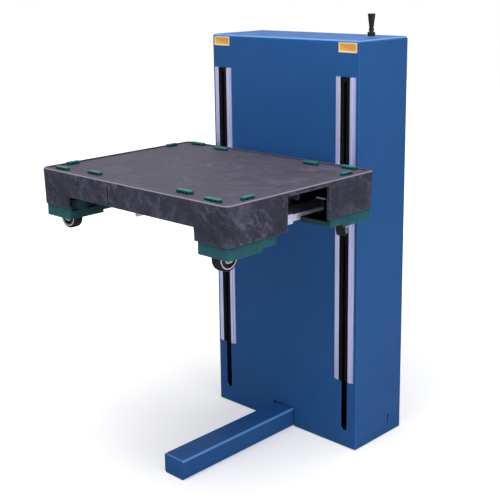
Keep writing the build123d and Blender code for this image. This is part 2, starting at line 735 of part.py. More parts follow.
def control_lever():
    """Flat-topped tapered grip on a ringed neck, turning about a cross pin in its ball."""
    pivot = COLUMN_H + LEVER_PIVOT
    ball_r = LEVER_BALL_D / 2
    neck_r = LEVER_NECK_D / 2
    ring_r = LEVER_RING_D / 2
    grip_r = LEVER_GRIP_D / 2
    top = COLUMN_H + LEVER_H
    neck_foot = (neck_r, pivot + math.sqrt(ball_r**2 - neck_r**2))
    ring = (COLUMN_H + LEVER_RING_LOW, COLUMN_H + LEVER_RING_TOP)
    shoulder = (grip_r, top - LEVER_EDGE_R)
    crown = (grip_r - LEVER_EDGE_R, top)
    ball = ThreePointArc((0, pivot - ball_r), (ball_r, pivot), neck_foot)
    shaft = Polyline(neck_foot, (neck_r, ring[0]), (ring_r, ring[0]), (ring_r, ring[1]), (neck_r, ring[1]),
                     (neck_r, COLUMN_H + LEVER_GRIP_LOW), shoulder)
    edge = RadiusArc(shoulder, crown, -LEVER_EDGE_R)
    profile = make_face([ball, shaft, edge, Polyline(crown, (0, top), (0, pivot - ball_r))])
    lever = Pos(LEVER_X, LEVER_Y, 0) * revolve(Plane.XZ * profile, Axis.Z)
    ball_x = (LEVER_X - LEVER_BALL_D, LEVER_X + LEVER_BALL_D)
    return lever - rod_x(LEVER_PIN_D + 2 * RUN_FIT, ball_x, LEVER_Y, pivot)


def deck_prism(inset, top, bottom):
    """Rounded rectangle that narrows downwards by the mould draft, inset from the deck's outline."""
    width = DOLLY_W - 2 * inset
    depth = DOLLY_D - 2 * inset
    plane = Plane((0, DOLLY_Y, top))
    outline = plane * RectangleRounded(width, depth, DECK_CORNER_R - inset)
    return extrude(outline, top - bottom, dir=(0, 0, -1), taper=DECK_DRAFT)


def caster_place(corner):
    side, end = CORNERS[corner]
    x = side * (DOLLY_W / 2 - CASTER_INSET)
    return x, DOLLY_Y + end * (DOLLY_D / 2 - CASTER_INSET)


def dolly_deck():
    shell = deck_prism(0, DECK_TOP, DECK_BOTTOM)
    shell = fillet(shell.faces().sort_by(Axis.Z)[-1].edges(), DECK_EDGE_R)
    draft_inset = math.tan(math.radians(DECK_DRAFT)) * DECK_SKIN
    deck = shell - deck_prism(DECK_WALL + draft_inset, DECK_UNDER, DECK_BOTTOM)
    for corner in CORNERS:
        deck += rod_z(CORE_D, (BOOT_TOP, DECK_UNDER), *caster_place(corner))
    deck -= deck_prism(RIM_W, DECK_TOP, DECK_TOP - RIM_H)
    arch_x = DOLLY_W / 2 - POST_W
    rear_arch_x = FORK_IN + RUNNER_OFF + RUNNER_W
    deck -= block((-arch_x, arch_x), (DOLLY_Y - DOLLY_D, DOLLY_Y), (DECK_BOTTOM, ARCH_Z))
    deck -= block((-rear_arch_x, rear_arch_x), (DOLLY_Y, DOLLY_Y + DOLLY_D), (DECK_BOTTOM, ARCH_Z))
    open_y = (DOLLY_Y - DOLLY_D / 2 + POST_FRONT_L, DOLLY_Y + DOLLY_D / 2 - POST_REAR_L)
    deck -= block((-DOLLY_W, DOLLY_W), open_y, (DECK_BOTTOM, DECK_UNDER))
    for sign in (-1, 1):
        runner_x = sided(sign, FORK_IN + RUNNER_OFF, FORK_IN + RUNNER_OFF + RUNNER_W)
        runner_y = (DOLLY_Y - RUNNER_FRONT, DOLLY_Y + DOLLY_D / 2 - DECK_WALL)
        deck += block(runner_x, runner_y, (FORK_TOP, DECK_UNDER))
        rib_y = DOLLY_Y + sign * RIB_Y
        deck += block((-arch_x, arch_x), (rib_y - RIB_T / 2, rib_y + RIB_T / 2), (ARCH_Z, DECK_UNDER))
    deck += block((-RIB_T / 2, RIB_T / 2), (DOLLY_Y - RIB_Y, DOLLY_Y + RIB_Y), (ARCH_Z, DECK_UNDER))
    for corner in CORNERS:
        deck -= rod_z(2 * (CUP_R + BOOT_FIT), (DECK_BOTTOM, BOOT_TOP), *caster_place(corner))
    for sign in (-1, 1):
        face = DOLLY_Y + sign * DOLLY_D / 2
        seam_x = sign * SEAM_X
        seam_y = (face - sign * (SEAM_DEPTH + DECK_WALL), face)
        seam = block((seam_x - SEAM_W / 2, seam_x + SEAM_W / 2), tuple(sorted(seam_y)), (ARCH_Z, DECK_UNDER))
        deck -= seam - deck_prism(SEAM_DEPTH, DECK_TOP, DECK_BOTTOM)
    return deck


def grip_pad(length):
    """Bar on short feet, long in X, standing on its own origin."""
    pad = block((-length / 2, length / 2), (-PAD_W / 2, PAD_W / 2), (0, PAD_H))
    feet = round(length / PAD_PITCH)
    pitch = length / feet
    for i in range(1, feet):
        x = -length / 2 + i * pitch
        notch_x = (x - PAD_NOTCH_W / 2, x + PAD_NOTCH_W / 2)
        pad -= block(notch_x, (-PAD_W / 2, PAD_W / 2), (0, PAD_NOTCH_H))
    return pad


def dolly_grip_pads():
    pads = []
    seat = DECK_TOP - RIM_H
    for side in (-1, 1):
        for end in (-1, 1):
            rows = ((PAD_INNER_INSET, PAD_INNER_EDGE), (PAD_OUTER_INSET, PAD_OUTER_EDGE))
            for inset, edge in rows:
                x = side * (DOLLY_W / 2 - inset)
                place = Pos(x, DOLLY_Y + end * (DOLLY_D / 2 - edge), seat)
                pads.append(place * grip_pad(PAD_L))
            edge_x = side * (DOLLY_W / 2 - PAD_OUTER_EDGE)
            place = Pos(edge_x, DOLLY_Y + end * PAD_SIDE_Y, seat)
            pads.append(place * Rot(0, 0, 90) * grip_pad(PAD_SIDE_L))
    return group(pads)


def caster_boot(corner):
    """Boot under a corner post: a rimmed tray for the deck's skirt, and a cup that the caster turns in."""
    side, end = CORNERS[corner]
    place = caster_place(corner)
    half = BOOT_W / 2
    tray_top = BOOT_BOTTOM + BOOT_TRAY
    outer_y = place[1] + end * half
    step_y = place[1] - end * BOOT_REACH
    tail_y = step_y - end * BOOT_TAIL
    x = (place[0] - half, place[0] + half)
    boot = block(x, tuple(sorted((outer_y, tail_y))), (BOOT_BOTTOM, DECK_BOTTOM))
    boot = fillet(boot.edges().filter_by(Axis.Z), BOOT_EDGE_R)
    well_x = tuple(sorted((place[0] - side * 2 * half, place[0] + side * (half - BOOT_RIM))))
    well_y = tuple(sorted((outer_y - end * BOOT_RIM, tail_y - end * BOOT_TAIL)))
    boot -= block(well_x, well_y, (tray_top, DECK_BOTTOM))
    step = tuple(sorted((step_y, tail_y - end * BOOT_TAIL)))
    boot -= block(x, step, (BOOT_BOTTOM, BOOT_BOTTOM + BOOT_TAIL_STEP))
    boot += rod_z(2 * CUP_R, (tray_top, BOOT_TOP), *place)
    return boot - rod_z(2 * SWEEP_R, (BOOT_BOTTOM, CASTER_TOP), *place)


def caster_head_heights():
    """Levels of the fixed head from its plate down: race top, race bottom, crown bottom."""
    race_top = CASTER_TOP - CASTER_PLATE_T
    race_bottom = race_top - CASTER_RACE_H
    crown_bottom = race_bottom - TURN_GAP - CASTER_CROWN_T
    return race_top, race_bottom, crown_bottom


def caster_heads():
    race_top, race_bottom, crown_bottom = caster_head_heights()
    heads = []
    for corner in CORNERS:
        x, y = caster_place(corner)
        half = CASTER_PLATE / 2
        head = block((x - half, x + half), (y - half, y + half), (race_top, CASTER_TOP))
        head += rod_z(CASTER_RACE_D, (race_bottom, race_top), x, y)
        pin_low = crown_bottom - TURN_GAP
        head += rod_z(KINGPIN_D, (pin_low, race_bottom), x, y)
        head += rod_z(KINGPIN_HEAD_D, (pin_low - KINGPIN_HEAD_T, pin_low), x, y)
        heads.append(head)
    return group(heads)


def at_caster(corner, part):
    """A part modelled with its swivel on the Z axis and its wheel axle along X, put in its corner."""
    x, y = caster_place(corner)
    return Pos(x, y, 0) * Rot(0, 0, CASTER_YAW[corner]) * part


def caster_fork(corner):
    race_bottom, crown_bottom = caster_head_heights()[1:]
    crown_top = race_bottom - TURN_GAP
    half = CASTER_CROWN_W / 2
    crown = block((-LEG_OUT, LEG_OUT), (-half, half), (crown_bottom, crown_top))
    crown -= rod_z(KINGPIN_D + 2 * RUN_FIT, (crown_bottom, crown_top))
    trail = -CASTER_TRAIL
    low = AXLE_Z
    end_r = CASTER_LEG_END_R
    plate = make_face(
        Polyline(
            (-half, crown_bottom), (half - end_r, crown_bottom), (trail + end_r, low), (trail - end_r, low),
            close=True,
        )
    )
    plate += Pos(trail, low) * Circle(end_r)
    plate -= Pos(trail, low) * Circle(CASTER_AXLE_D / 2 + RUN_FIT)
    for sign in (-1, 1):
        leg = extrude(Plane.YZ * plate, CASTER_LEG_T)
        crown += Pos(min(sign * LEG_IN, sign * LEG_OUT), 0, 0) * leg
    axle = rod_x(CASTER_AXLE_D, (-LEG_OUT, LEG_OUT), trail, low)
    for sign in (-1, 1):
        head_x = sided(sign, LEG_OUT, LEG_OUT + CASTER_AXLE_HEAD_T)
        axle += rod_x(CASTER_AXLE_HEAD_D, head_x, trail, low)
    return group([at_caster(corner, crown), at_caster(corner, axle)])


def caster_tyre(corner):
    x = (-WHEEL_W / 2, WHEEL_W / 2)
    tyre = fillet(rod_x(WHEEL_D, x, -CASTER_TRAIL, AXLE_Z).edges(), WHEEL_EDGE_R)
    return at_caster(corner, tyre - rod_x(HUB_D, x, -CASTER_TRAIL, AXLE_Z))


def caster_hub(corner):
    hub = rod_x(HUB_D, (-HUB_W / 2, HUB_W / 2), -CASTER_TRAIL, AXLE_Z)
    boss = LEG_IN - TURN_GAP
    hub += rod_x(HUB_BOSS_D, (-boss, boss), -CASTER_TRAIL, AXLE_Z)
    return at_caster(corner, hub - rod_x(CASTER_AXLE_D + 2 * RUN_FIT, (-boss, boss), -CASTER_TRAIL, AXLE_Z))


nodes = {
    "base_plate": base_plate(),
    "leg_tube": leg_tube(),
    "leg_end_cap": leg_end_cap(),
    "front_panel": front_panel(),
    "rear_panel": rear_panel(),
    "cover_screws": cover_screws(),
    "top_cover": top_cover(),
    "marker_plates": marker_plates(),
    "seal_holders": seal_holders(),
    "slot_seals": slot_seals(),
    "mast_top_tie": mast_top_tie(),
    "drive_bracket": drive_bracket(),
    "screw_bearings": screw_bearings(),
    "motor": motor(),
    "motor_pulley": motor_pulley(),
    "screw_pulley": screw_pulley(),
    "drive_belt": drive_belt(),
    "lift_screw": lift_screw(),
    "lift_nut": lift_nut(),
    "carriage_bolts": carriage_bolts(),
    "carriage_plate": carriage_plate(),
    "roller_axles": roller_axles(),
    "control_box": control_box(),
    "control_box_lid": control_box_lid(),
    "limit_switches": limit_switches(),
    "cable_gland": cable_gland(),
    "lever_bezel": lever_bezel(),
    "lever_socket": lever_socket(),
    "control_lever": control_lever(),
    "dolly_deck": dolly_deck(),
    "dolly_grip_pads": dolly_grip_pads(),
    "caster_heads": caster_heads(),
}
for sign, side in ((-1, "left"), (1, "right")):
    nodes[f"side_panel_{side}"] = side_panel(sign)
    nodes[f"mast_channel_{side}"] = mast_channel(sign)
    nodes[f"carriage_side_{side}"] = carriage_side(sign)
    nodes[f"fork_{side}"] = fork(sign)
    for level, z in zip(("lower", "upper"), ROLLER_Z):
        nodes[f"guide_roller_{side}_{level}"] = guide_roller(sign, z)
for corner in CORNERS:
    nodes[f"caster_boot_{corner}"] = caster_boot(corner)
    nodes[f"caster_fork_{corner}"] = caster_fork(corner)
    nodes[f"caster_tyre_{corner}"] = caster_tyre(corner)
    nodes[f"caster_hub_{corner}"] = caster_hub(corner)

os.makedirs("parts", exist_ok=True)
for name, part in nodes.items():
    export_step(part, f"parts/{name}.step")
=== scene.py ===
import json
import math

import bmesh
import bpy
from mathutils import Matrix, Vector


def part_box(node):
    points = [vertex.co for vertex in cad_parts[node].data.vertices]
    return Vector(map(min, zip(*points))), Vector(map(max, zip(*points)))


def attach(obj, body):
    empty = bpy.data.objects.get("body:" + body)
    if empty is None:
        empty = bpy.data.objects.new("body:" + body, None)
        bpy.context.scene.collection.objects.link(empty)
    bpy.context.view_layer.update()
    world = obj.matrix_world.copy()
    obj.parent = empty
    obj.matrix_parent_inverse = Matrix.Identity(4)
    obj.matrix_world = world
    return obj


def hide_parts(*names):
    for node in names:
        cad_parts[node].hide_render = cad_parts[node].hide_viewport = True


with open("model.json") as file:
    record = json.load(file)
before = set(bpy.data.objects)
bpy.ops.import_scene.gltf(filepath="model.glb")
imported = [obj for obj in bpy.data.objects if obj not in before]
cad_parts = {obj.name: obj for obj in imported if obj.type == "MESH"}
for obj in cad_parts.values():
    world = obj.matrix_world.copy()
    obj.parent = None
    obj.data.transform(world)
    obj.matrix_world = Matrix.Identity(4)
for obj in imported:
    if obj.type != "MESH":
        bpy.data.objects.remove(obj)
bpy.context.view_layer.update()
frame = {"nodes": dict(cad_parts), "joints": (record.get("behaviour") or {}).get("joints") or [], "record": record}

# Looks of the column lift table. Metres, in the part's own frame: +Z up, forks towards -Y.

NODES = frame["nodes"]
JOINTS = {joint["name"]: joint for joint in frame["joints"]}
CORNERS = ("front_left", "front_right", "rear_left", "rear_right")

# Camera at the photograph's viewing angle
CAMERA_PLACE = (2.1111, -2.4578, 1.5199)
CAMERA_AZIMUTH = 44.0293
CAMERA_ELEVATION = 13.0753
CAMERA_ROLL = -0.8185
CAMERA_LENS = 71.14
CAMERA_SENSOR = 36.0
CAMERA_SHIFT_Y = -0.1

# Lamps: name, place, target, width, height and watts
LAMPS = (
    ("overhead_softbox", (0.4, -0.7, 3.6), (0.1, -0.35, 0.0), 2.6, 2.6, 95),
    ("right_softbox", (3.4, -0.4, 2.0), (0.0, -0.3, 0.7), 2.0, 2.2, 4),
    ("front_softbox", (-0.2, -3.6, 3.2), (0.0, -0.3, 0.7), 2.2, 1.6, 41),
    ("side_fill", (3.2, -0.9, 0.86), (0.25, -0.4, 0.83), 1.2, 0.8, 26),
)

# World, and the floor with its glow for the camera alone, from near the part to far from it
WHITE = (1, 1, 1, 1)
WHITE_LEVEL = 1.0
AMBIENT_LEVEL = 0.32
FLOOR_HALF = 9.0
FLOOR_COLOR = (0.86, 0.86, 0.87, 1)
FLOOR_FADE = (0.8, 2.2)
FLOOR_GLOW = (0.38, 1.0)

# Colour sockets of the Mix node
MIX_BASE = 6
MIX_OTHER = 7
MIX_RESULT = 2

# Marbling of the deck: the strokes fall towards +X and +Y
STROKE_TURN = (-math.radians(45), math.radians(35.3), 0)
STROKE_STRETCH = (1.0, 1.0, 0.22)

# Rounds on the edges of CAD nodes, and the angle past which an edge of a new piece stays sharp
FORK_EDGE = 0.0012
PAD_EDGE = 0.0008
EDGE_SEGMENTS = 2
EDGE_ANGLE = math.radians(40)
SHARP_ANGLE = math.radians(35)

# Slot seals: bristle tufts between the strips and the fork's tongue, and a ribbed head above the slot
SEAL_X = 0.262
SEAL_LIP = 0.0045
SEAL_ROOT = 0.0185
SEAL_CLAMP = 0.0045
SEAL_HEAD = 0.017
HEAD_SUNK = 0.0012
HEAD_RIB_HALF = 0.0022
HEAD_RIB_SPREAD = 0.62
HEAD_RIB_DEPTH = (0.0002, 0.0013)
HEAD_RIB_MARGIN = 0.001
TUFT_PITCH = 0.003
TUFT_GAP = 0.0005
TUFT_SUNK = 0.0006
TUFT_LEAN = 0.0006
TUFT_LEAN_STEP = 2.4
TUFT_WAVE = 0.0004
TUFT_WAVE_STEP = 1.7
SAME_PLACE = 1e-6

# Caster wheels: tyre, pale ring, hub and bearing cap
TYRE_R = 0.0375
TYRE_HALF = 0.015
TYRE_INNER_R = 0.025
TYRE_ROUND = 0.005
SHOULDER_STEPS = 5
CROWN_HALF = 0.0012
TREAD_DROP = 0.0001
GROOVE_MIDDLE = 0.0035
GROOVE_HALF = 0.0008
GROOVE_LIP = 0.0014
GROOVE_DEPTH = 0.0009
BEAD_W = 0.001
BEAD_DROP = 0.0006
BEAD_DEPTH = 0.002
RING_IN = 0.0274
RING_OUT = 0.0304
RING_PROUD = 0.0006
RING_BEVEL = 0.0005
RING_SUNK = 0.001
HUB_FACE = 0.0125
HUB_RIM_R = 0.0230
HUB_WEB_OUT_R = 0.0215
HUB_WEB_OUT_DEPTH = 0.0035
HUB_WEB_IN_R = 0.0165
HUB_WEB_IN_DEPTH = 0.0030
HUB_BOSS_R = 0.009
HUB_BOSS_HALF = 0.0165
HUB_CAP_R = 0.0150
HUB_CAP_T = 0.0025
CAP_TAPER = 0.0004
CAP_SIDE_DROP = 0.0010
CAP_DOME_W = 0.002
CAP_DOME_DROP = 0.0002
AXLE_R = 0.00405

# Rear cover screws: the dome as (share of the head's radius, drop from its top)
SCREW_ROWS = 4
SCREW_HEAD_R = 0.00475
SCREW_HEAD_T = 0.0025
SCREW_DOME = ((0.62, 0.0002), (0.86, 0.0008), (1.0, 0.0019))
SCREW_SOCKET_R = 0.0021
SCREW_SOCKET_DEPTH = 0.0015
SCREW_STEPS = 36

# Cable gland: the dome as (share of the gland's radius, drop from its outer end)
GLAND_R = 0.012
GLAND_BORE_R = 0.005
GLAND_HEX_T = 0.006
GLAND_FLAT_SHARE = 0.97
GLAND_BEVEL = 0.0006
GLAND_OUT = 0.018
GLAND_DOME = ((0.86, 0.005), (0.74, 0.0016), (0.6, 0.0))
GLAND_DOME_STEPS = 48
GLAND_RIBS = 18
GLAND_RIB_REACH = (0.84, 0.94)
GLAND_RIB_HALF = 0.0006
GLAND_RIB_ENDS = (0.0004, 0.0054)
THREAD_R = 0.0098
THREAD_LEAD_R = 0.0006
THREAD_LEAD = 0.0008
THREAD_STEPS = 40

# Blank marker plates: a border and a sunk field, which has the second finish
PLATE_W = 0.070
PLATE_BORDER = 0.004
PLATE_ROUND = 0.003
PLATE_LEAST_ROUND = 0.0008
PLATE_BEVEL = 0.0003
FIELD_SLOPE = 0.0004
FIELD_SUNK = 0.0003
FIELD_FINISH = 1


def srgb(red, green, blue):
    """Linear colour from 8-bit screen values."""
    def linear(value):
        share = value / 255
        return share / 12.92 if share <= 0.04045 else ((share + 0.055) / 1.055) ** 2.4
    return tuple(linear(value) for value in (red, green, blue))


def add_node(tree, kind, inputs=None, **settings):
    node = tree.nodes.new(kind)
    for name, value in settings.items():
        setattr(node, name, value)
    for name, value in (inputs or {}).items():
        node.inputs[name].default_value = value
    return node


def new_material(name, color, roughness, metallic=0.0, specular=0.5):
    material = bpy.data.materials.new(name)
    material.use_nodes = True
    tree = material.node_tree
    shader = tree.nodes["Principled BSDF"]
    shader.inputs["Base Color"].default_value = (*color, 1)
    shader.inputs["Roughness"].default_value = roughness
    shader.inputs["Metallic"].default_value = metallic
    shader.inputs["Specular IOR Level"].default_value = specular
    return material, tree, shader


def object_coords(tree, scale=(1, 1, 1), turn=(0, 0, 0)):
    coords = add_node(tree, "ShaderNodeTexCoord")
    mapping = add_node(tree, "ShaderNodeMapping", {"Scale": scale, "Rotation": turn})
    tree.links.new(coords.outputs["Object"], mapping.inputs["Vector"])
    return mapping.outputs["Vector"]


def stretch_after(tree, vector, scale):
    """Coordinates scaled once they are turned, so that a pattern runs along a slanting line."""
    mapping = add_node(tree, "ShaderNodeMapping", {"Scale": scale})
    tree.links.new(vector, mapping.inputs["Vector"])
    return mapping.outputs["Vector"]


def noise(tree, vector, scale, detail=4.0, roughness=0.5, distortion=0.0):
    node = add_node(tree, "ShaderNodeTexNoise", {
        "Scale": scale, "Detail": detail, "Roughness": roughness, "Distortion": distortion,
    })
    tree.links.new(vector, node.inputs["Vector"])
    return node.outputs["Fac"]


def ramp(tree, value, stops):
    node = add_node(tree, "ShaderNodeValToRGB")
    elements = node.color_ramp.elements
    while len(elements) < len(stops):
        elements.new(0.5)
    for element, (place, color) in zip(elements, stops):
        element.position = place
        element.color = (*color, 1)
    tree.links.new(value, node.inputs["Fac"])
    return node.outputs["Color"]


def between(tree, value, low, high, start=0.0, end=1.0):
    """Value from low to high mapped to start to end, and held there outside."""
    node = add_node(tree, "ShaderNodeMapRange", {
        "From Min": low, "From Max": high, "To Min": start, "To Max": end,
    })
    tree.links.new(value, node.inputs["Value"])
    return node.outputs["Result"]


def product(tree, first, second):
    node = add_node(tree, "ShaderNodeMath", operation="MULTIPLY")
    tree.links.new(first, node.inputs[0])
    tree.links.new(second, node.inputs[1])
    return node.outputs["Value"]


def blend_to(tree, share, base, color):
    """The base colour where share is 0 and the other colour where it is 1."""
    node = add_node(tree, "ShaderNodeMix", data_type="RGBA")
    tree.links.new(share, node.inputs["Factor"])
    tree.links.new(base, node.inputs[MIX_BASE])
    node.inputs[MIX_OTHER].default_value = (*color, 1)
    return node.outputs[MIX_RESULT]


def set_bump(tree, shader, height, strength, distance):
    node = add_node(tree, "ShaderNodeBump", {"Strength": strength, "Distance": distance})
    tree.links.new(height, node.inputs["Height"])
    tree.links.new(node.outputs["Normal"], shader.inputs["Normal"])


def edge_wear_and_highlight_share(tree, vector, radius):
    """1 on edges and 0 on flat faces, broken up by noise: worn edges, which on the blue paint and the deck are
    partly painted highlight.
    """
    bevel = add_node(tree, "ShaderNodeBevel", {"Radius": radius}, samples=6)
    geometry = add_node(tree, "ShaderNodeNewGeometry")
    dot = add_node(tree, "ShaderNodeVectorMath", operation="DOT_PRODUCT")
    tree.links.new(bevel.outputs["Normal"], dot.inputs[0])
    tree.links.new(geometry.outputs["Normal"], dot.inputs[1])
    edge = between(tree, dot.outputs["Value"], 0.99, 0.78)
    patches = between(tree, noise(tree, vector, 38, detail=5, roughness=0.65), 0.35, 0.65, 0.15, 1.0)
    return product(tree, edge, patches)


def upward(tree):
    """Height of the surface's normal: 1 on level tops and 0 on upright faces."""
    geometry = add_node(tree, "ShaderNodeNewGeometry")
    parts = add_node(tree, "ShaderNodeSeparateXYZ")
    tree.links.new(geometry.outputs["Normal"], parts.inputs["Vector"])
    return parts.outputs["Z"]


def bend_highlight_share(tree, rise, level):
    """1 where a surface bends from upright to level, and 0 on flat faces: where painted highlights on rounded
    edges go.
    """
    tilt = upward(tree)
    return product(tree, between(tree, tilt, *rise), between(tree, tilt, *level, 1.0, 0.0))


def blue_paint():
    material, tree, shader = new_material("blue_paint", srgb(36, 84, 142), 0.52, specular=0.1)
    place = object_coords(tree)
    tone = ramp(tree, noise(tree, place, 1.9, detail=3), ((0.3, srgb(33, 80, 137)), (0.7, srgb(40, 89, 148))))
    dusty = between(tree, noise(tree, place, 11, detail=8, roughness=0.7), 0.55, 0.75, 0.0, 0.12)
    tone = blend_to(tree, dusty, tone, srgb(66, 106, 156))
    # Painted highlight: pale blue on the rounded bends from upright to level.
    tone = blend_to(tree, bend_highlight_share(tree, (0.10, 0.40), (0.80, 0.98)), tone, srgb(98, 152, 212))
    # Lighter edges: partly worn paint and partly painted highlight.
    tone = blend_to(tree, edge_wear_and_highlight_share(tree, place, 0.0022), tone, srgb(84, 138, 202))
    tree.links.new(tone, shader.inputs["Base Color"])
    gloss = between(tree, noise(tree, place, 24, detail=6, roughness=0.6), 0.3, 0.7, 0.44, 0.58)
    tree.links.new(gloss, shader.inputs["Roughness"])
    set_bump(tree, shader, noise(tree, place, 420, detail=2), 0.1, 0.0005)
    return material


def dark_primer():
    material, tree, shader = new_material("base_paint", srgb(52, 56, 62), 0.6)
    place = object_coords(tree)
    tone = ramp(tree, noise(tree, place, 30, detail=6), ((0.3, srgb(42, 45, 50)), (0.7, srgb(64, 68, 74))))
    tree.links.new(tone, shader.inputs["Base Color"])
    set_bump(tree, shader, noise(tree, place, 300, detail=3), 0.25, 0.0004)
    return material


def brushed_metal(name, dark, light, roughness, stretch, metallic=1.0):
    """Metal with fine lines along the axis whose stretch is small."""
    material, tree, shader = new_material(name, light, roughness, metallic)
    lines = noise(tree, object_coords(tree, stretch), 700, detail=3, roughness=0.6)
    clouds = noise(tree, object_coords(tree), 14, detail=5)
    tone = ramp(tree, lines, ((0.25, dark), (0.75, light)))
    tone = blend_to(tree, between(tree, clouds, 0.45, 0.75, 0.0, 0.35), tone, dark)
    tree.links.new(tone, shader.inputs["Base Color"])
    gloss = between(tree, clouds, 0.3, 0.7, roughness - 0.06, roughness + 0.1)
    tree.links.new(gloss, shader.inputs["Roughness"])
    set_bump(tree, shader, lines, 0.12, 0.0002)
    return material


def zinc_plate(name, dark, light, roughness=0.36, metallic=0.85):
    """Zinc plating: faint crystals, cloudy stains and bright worn edges."""
    material, tree, shader = new_material(name, light, roughness, metallic)
    place = object_coords(tree)
    crystals = add_node(tree, "ShaderNodeTexVoronoi", {"Scale": 130.0})
    tree.links.new(place, crystals.inputs["Vector"])
    tone = ramp(tree, crystals.outputs["Color"], ((0.1, dark), (0.9, light)))
    stains = between(tree, noise(tree, place, 20, detail=7, roughness=0.65), 0.5, 0.75, 0.0, 0.5)
    tone = blend_to(tree, stains, tone, dark)
    tone = blend_to(tree, edge_wear_and_highlight_share(tree, place, 0.0012), tone, srgb(226, 226, 236))
    tree.links.new(tone, shader.inputs["Base Color"])
    gloss = between(tree, noise(tree, place, 60, detail=5), 0.3, 0.7, roughness - 0.08, roughness + 0.12)
    tree.links.new(gloss, shader.inputs["Roughness"])
    set_bump(tree, shader, noise(tree, place, 260, detail=4), 0.12, 0.0003)
    return material


def cast_metal(name, dark, light, roughness, metallic, grain):
    material, tree, shader = new_material(name, light, roughness, metallic)
    place = object_coords(tree)
    tone = ramp(tree, noise(tree, place, 45, detail=6), ((0.3, dark), (0.7, light)))
    tree.links.new(tone, shader.inputs["Base Color"])
    set_bump(tree, shader, noise(tree, place, grain, detail=4), 0.35, 0.0006)
    return material


def screw_thread_steel():
    """Bright steel with the thread of the lift screw as a fine wave along Z."""
    material, tree, shader = new_material("lift_screw_steel", srgb(176, 178, 184), 0.28, 1.0)
    place = object_coords(tree)
    wave = add_node(tree, "ShaderNodeTexWave", {"Scale": 40.0, "Distortion": 0.0}, bands_direction="Z")
    tree.links.new(place, wave.inputs["Vector"])
    # The dark bands are painted shade in the thread's roots, where the bump sinks.
    tone = ramp(tree, wave.outputs["Fac"], ((0.2, srgb(96, 98, 104)), (0.6, srgb(190, 192, 198))))
    tree.links.new(tone, shader.inputs["Base Color"])
    set_bump(tree, shader, wave.outputs["Fac"], 0.9, 0.0015)
    return material


def crevice(tree, reach, closed=0.45, free=0.85):
    """Shade for grooves and hollows: 1 on open faces and towards 0 inside them."""
    node = add_node(tree, "ShaderNodeAmbientOcclusion", {"Distance": reach}, samples=8)
    return between(tree, node.outputs["AO"], closed, free)


def satin_plastic(name, dark, light, roughness, grain=380, grain_depth=0.0003, worn=None, hollow=None):
    """Moulded plastic with fine grain, and where wanted worn edges and painted shade in hollows."""
    material, tree, shader = new_material(name, light, roughness, specular=0.2)
    place = object_coords(tree)
    tone = ramp(tree, noise(tree, place, 26, detail=6, roughness=0.6), ((0.3, dark), (0.7, light)))
    if worn:
        tone = blend_to(tree, edge_wear_and_highlight_share(tree, place, 0.0018), tone, worn)
    if hollow:
        # Painted shade: hollows darkened towards the given colour, over the given reach.
        reach, hollow_shade = hollow
        closed = between(tree, crevice(tree, reach, 0.6, 1.0), 0.0, 1.0, 0.9, 0.0)
        tone = blend_to(tree, closed, tone, hollow_shade)
    tree.links.new(tone, shader.inputs["Base Color"])
    gloss = between(tree, noise(tree, place, 70, detail=4), 0.3, 0.7, roughness - 0.08, roughness + 0.1)
    tree.links.new(gloss, shader.inputs["Roughness"])
    set_bump(tree, shader, noise(tree, place, grain, detail=3), 0.2, grain_depth)
    return material


def regrind_plastic():
    """Marbled charcoal plastic with smoky strokes, a pale rim line of painted highlight, lighter level tops that
    are partly dust and partly painted top light, lighter edges that are partly wear and partly painted highlight,
    and painted shade in the grooves.
    """
    material, tree, shader = new_material("deck_plastic", srgb(66, 67, 86), 0.68, specular=0.16)
    place = object_coords(tree)
    smoke = noise(tree, place, 13, detail=9, roughness=0.68, distortion=0.7)
    tone = ramp(tree, smoke, (
        (0.30, srgb(33, 34, 43)), (0.47, srgb(45, 46, 59)),
        (0.57, srgb(55, 56, 72)), (0.72, srgb(80, 81, 101)),
    ))
    slant = stretch_after(tree, object_coords(tree, turn=STROKE_TURN), STROKE_STRETCH)
    streaks = noise(tree, slant, 66, detail=6, roughness=0.65, distortion=0.6)
    strokes = between(tree, streaks, 0.48, 0.72, 0.0, 0.7)
    where = between(tree, noise(tree, place, 9, detail=3), 0.36, 0.62)
    tone = blend_to(tree, product(tree, strokes, where), tone, srgb(106, 106, 129))
    specks = between(tree, noise(tree, place, 210, detail=3), 0.6, 0.75, 0.0, 0.3)
    tone = blend_to(tree, specks, tone, srgb(96, 97, 119))
    # Lighter level tops: partly dust and partly painted top light.
    tone = blend_to(tree, between(tree, upward(tree), 0.9, 0.99, 0.0, 0.4), tone, srgb(84, 78, 86))
    # Painted highlight: a pale rim line on the bends from upright to level.
    tone = blend_to(tree, bend_highlight_share(tree, (0.35, 0.6), (0.8, 0.95)), tone, srgb(136, 131, 146))
    # Lighter edges away from the grooves: partly wear and partly painted highlight.
    open_faces = crevice(tree, 0.006)
    worn = product(tree, edge_wear_and_highlight_share(tree, place, 0.003), open_faces)
    tone = blend_to(tree, worn, tone, srgb(124, 122, 142))
    # Painted shade: near black in the grooves and hollows.
    closed = between(tree, open_faces, 0.0, 1.0, 0.85, 0.0)
    tone = blend_to(tree, closed, tone, srgb(22, 22, 28))
    tree.links.new(tone, shader.inputs["Base Color"])
    gloss = between(tree, smoke, 0.3, 0.7, 0.6, 0.75)
    tree.links.new(gloss, shader.inputs["Roughness"])
    set_bump(tree, shader, noise(tree, place, 300, detail=4, roughness=0.6), 0.25, 0.0006)
    return material


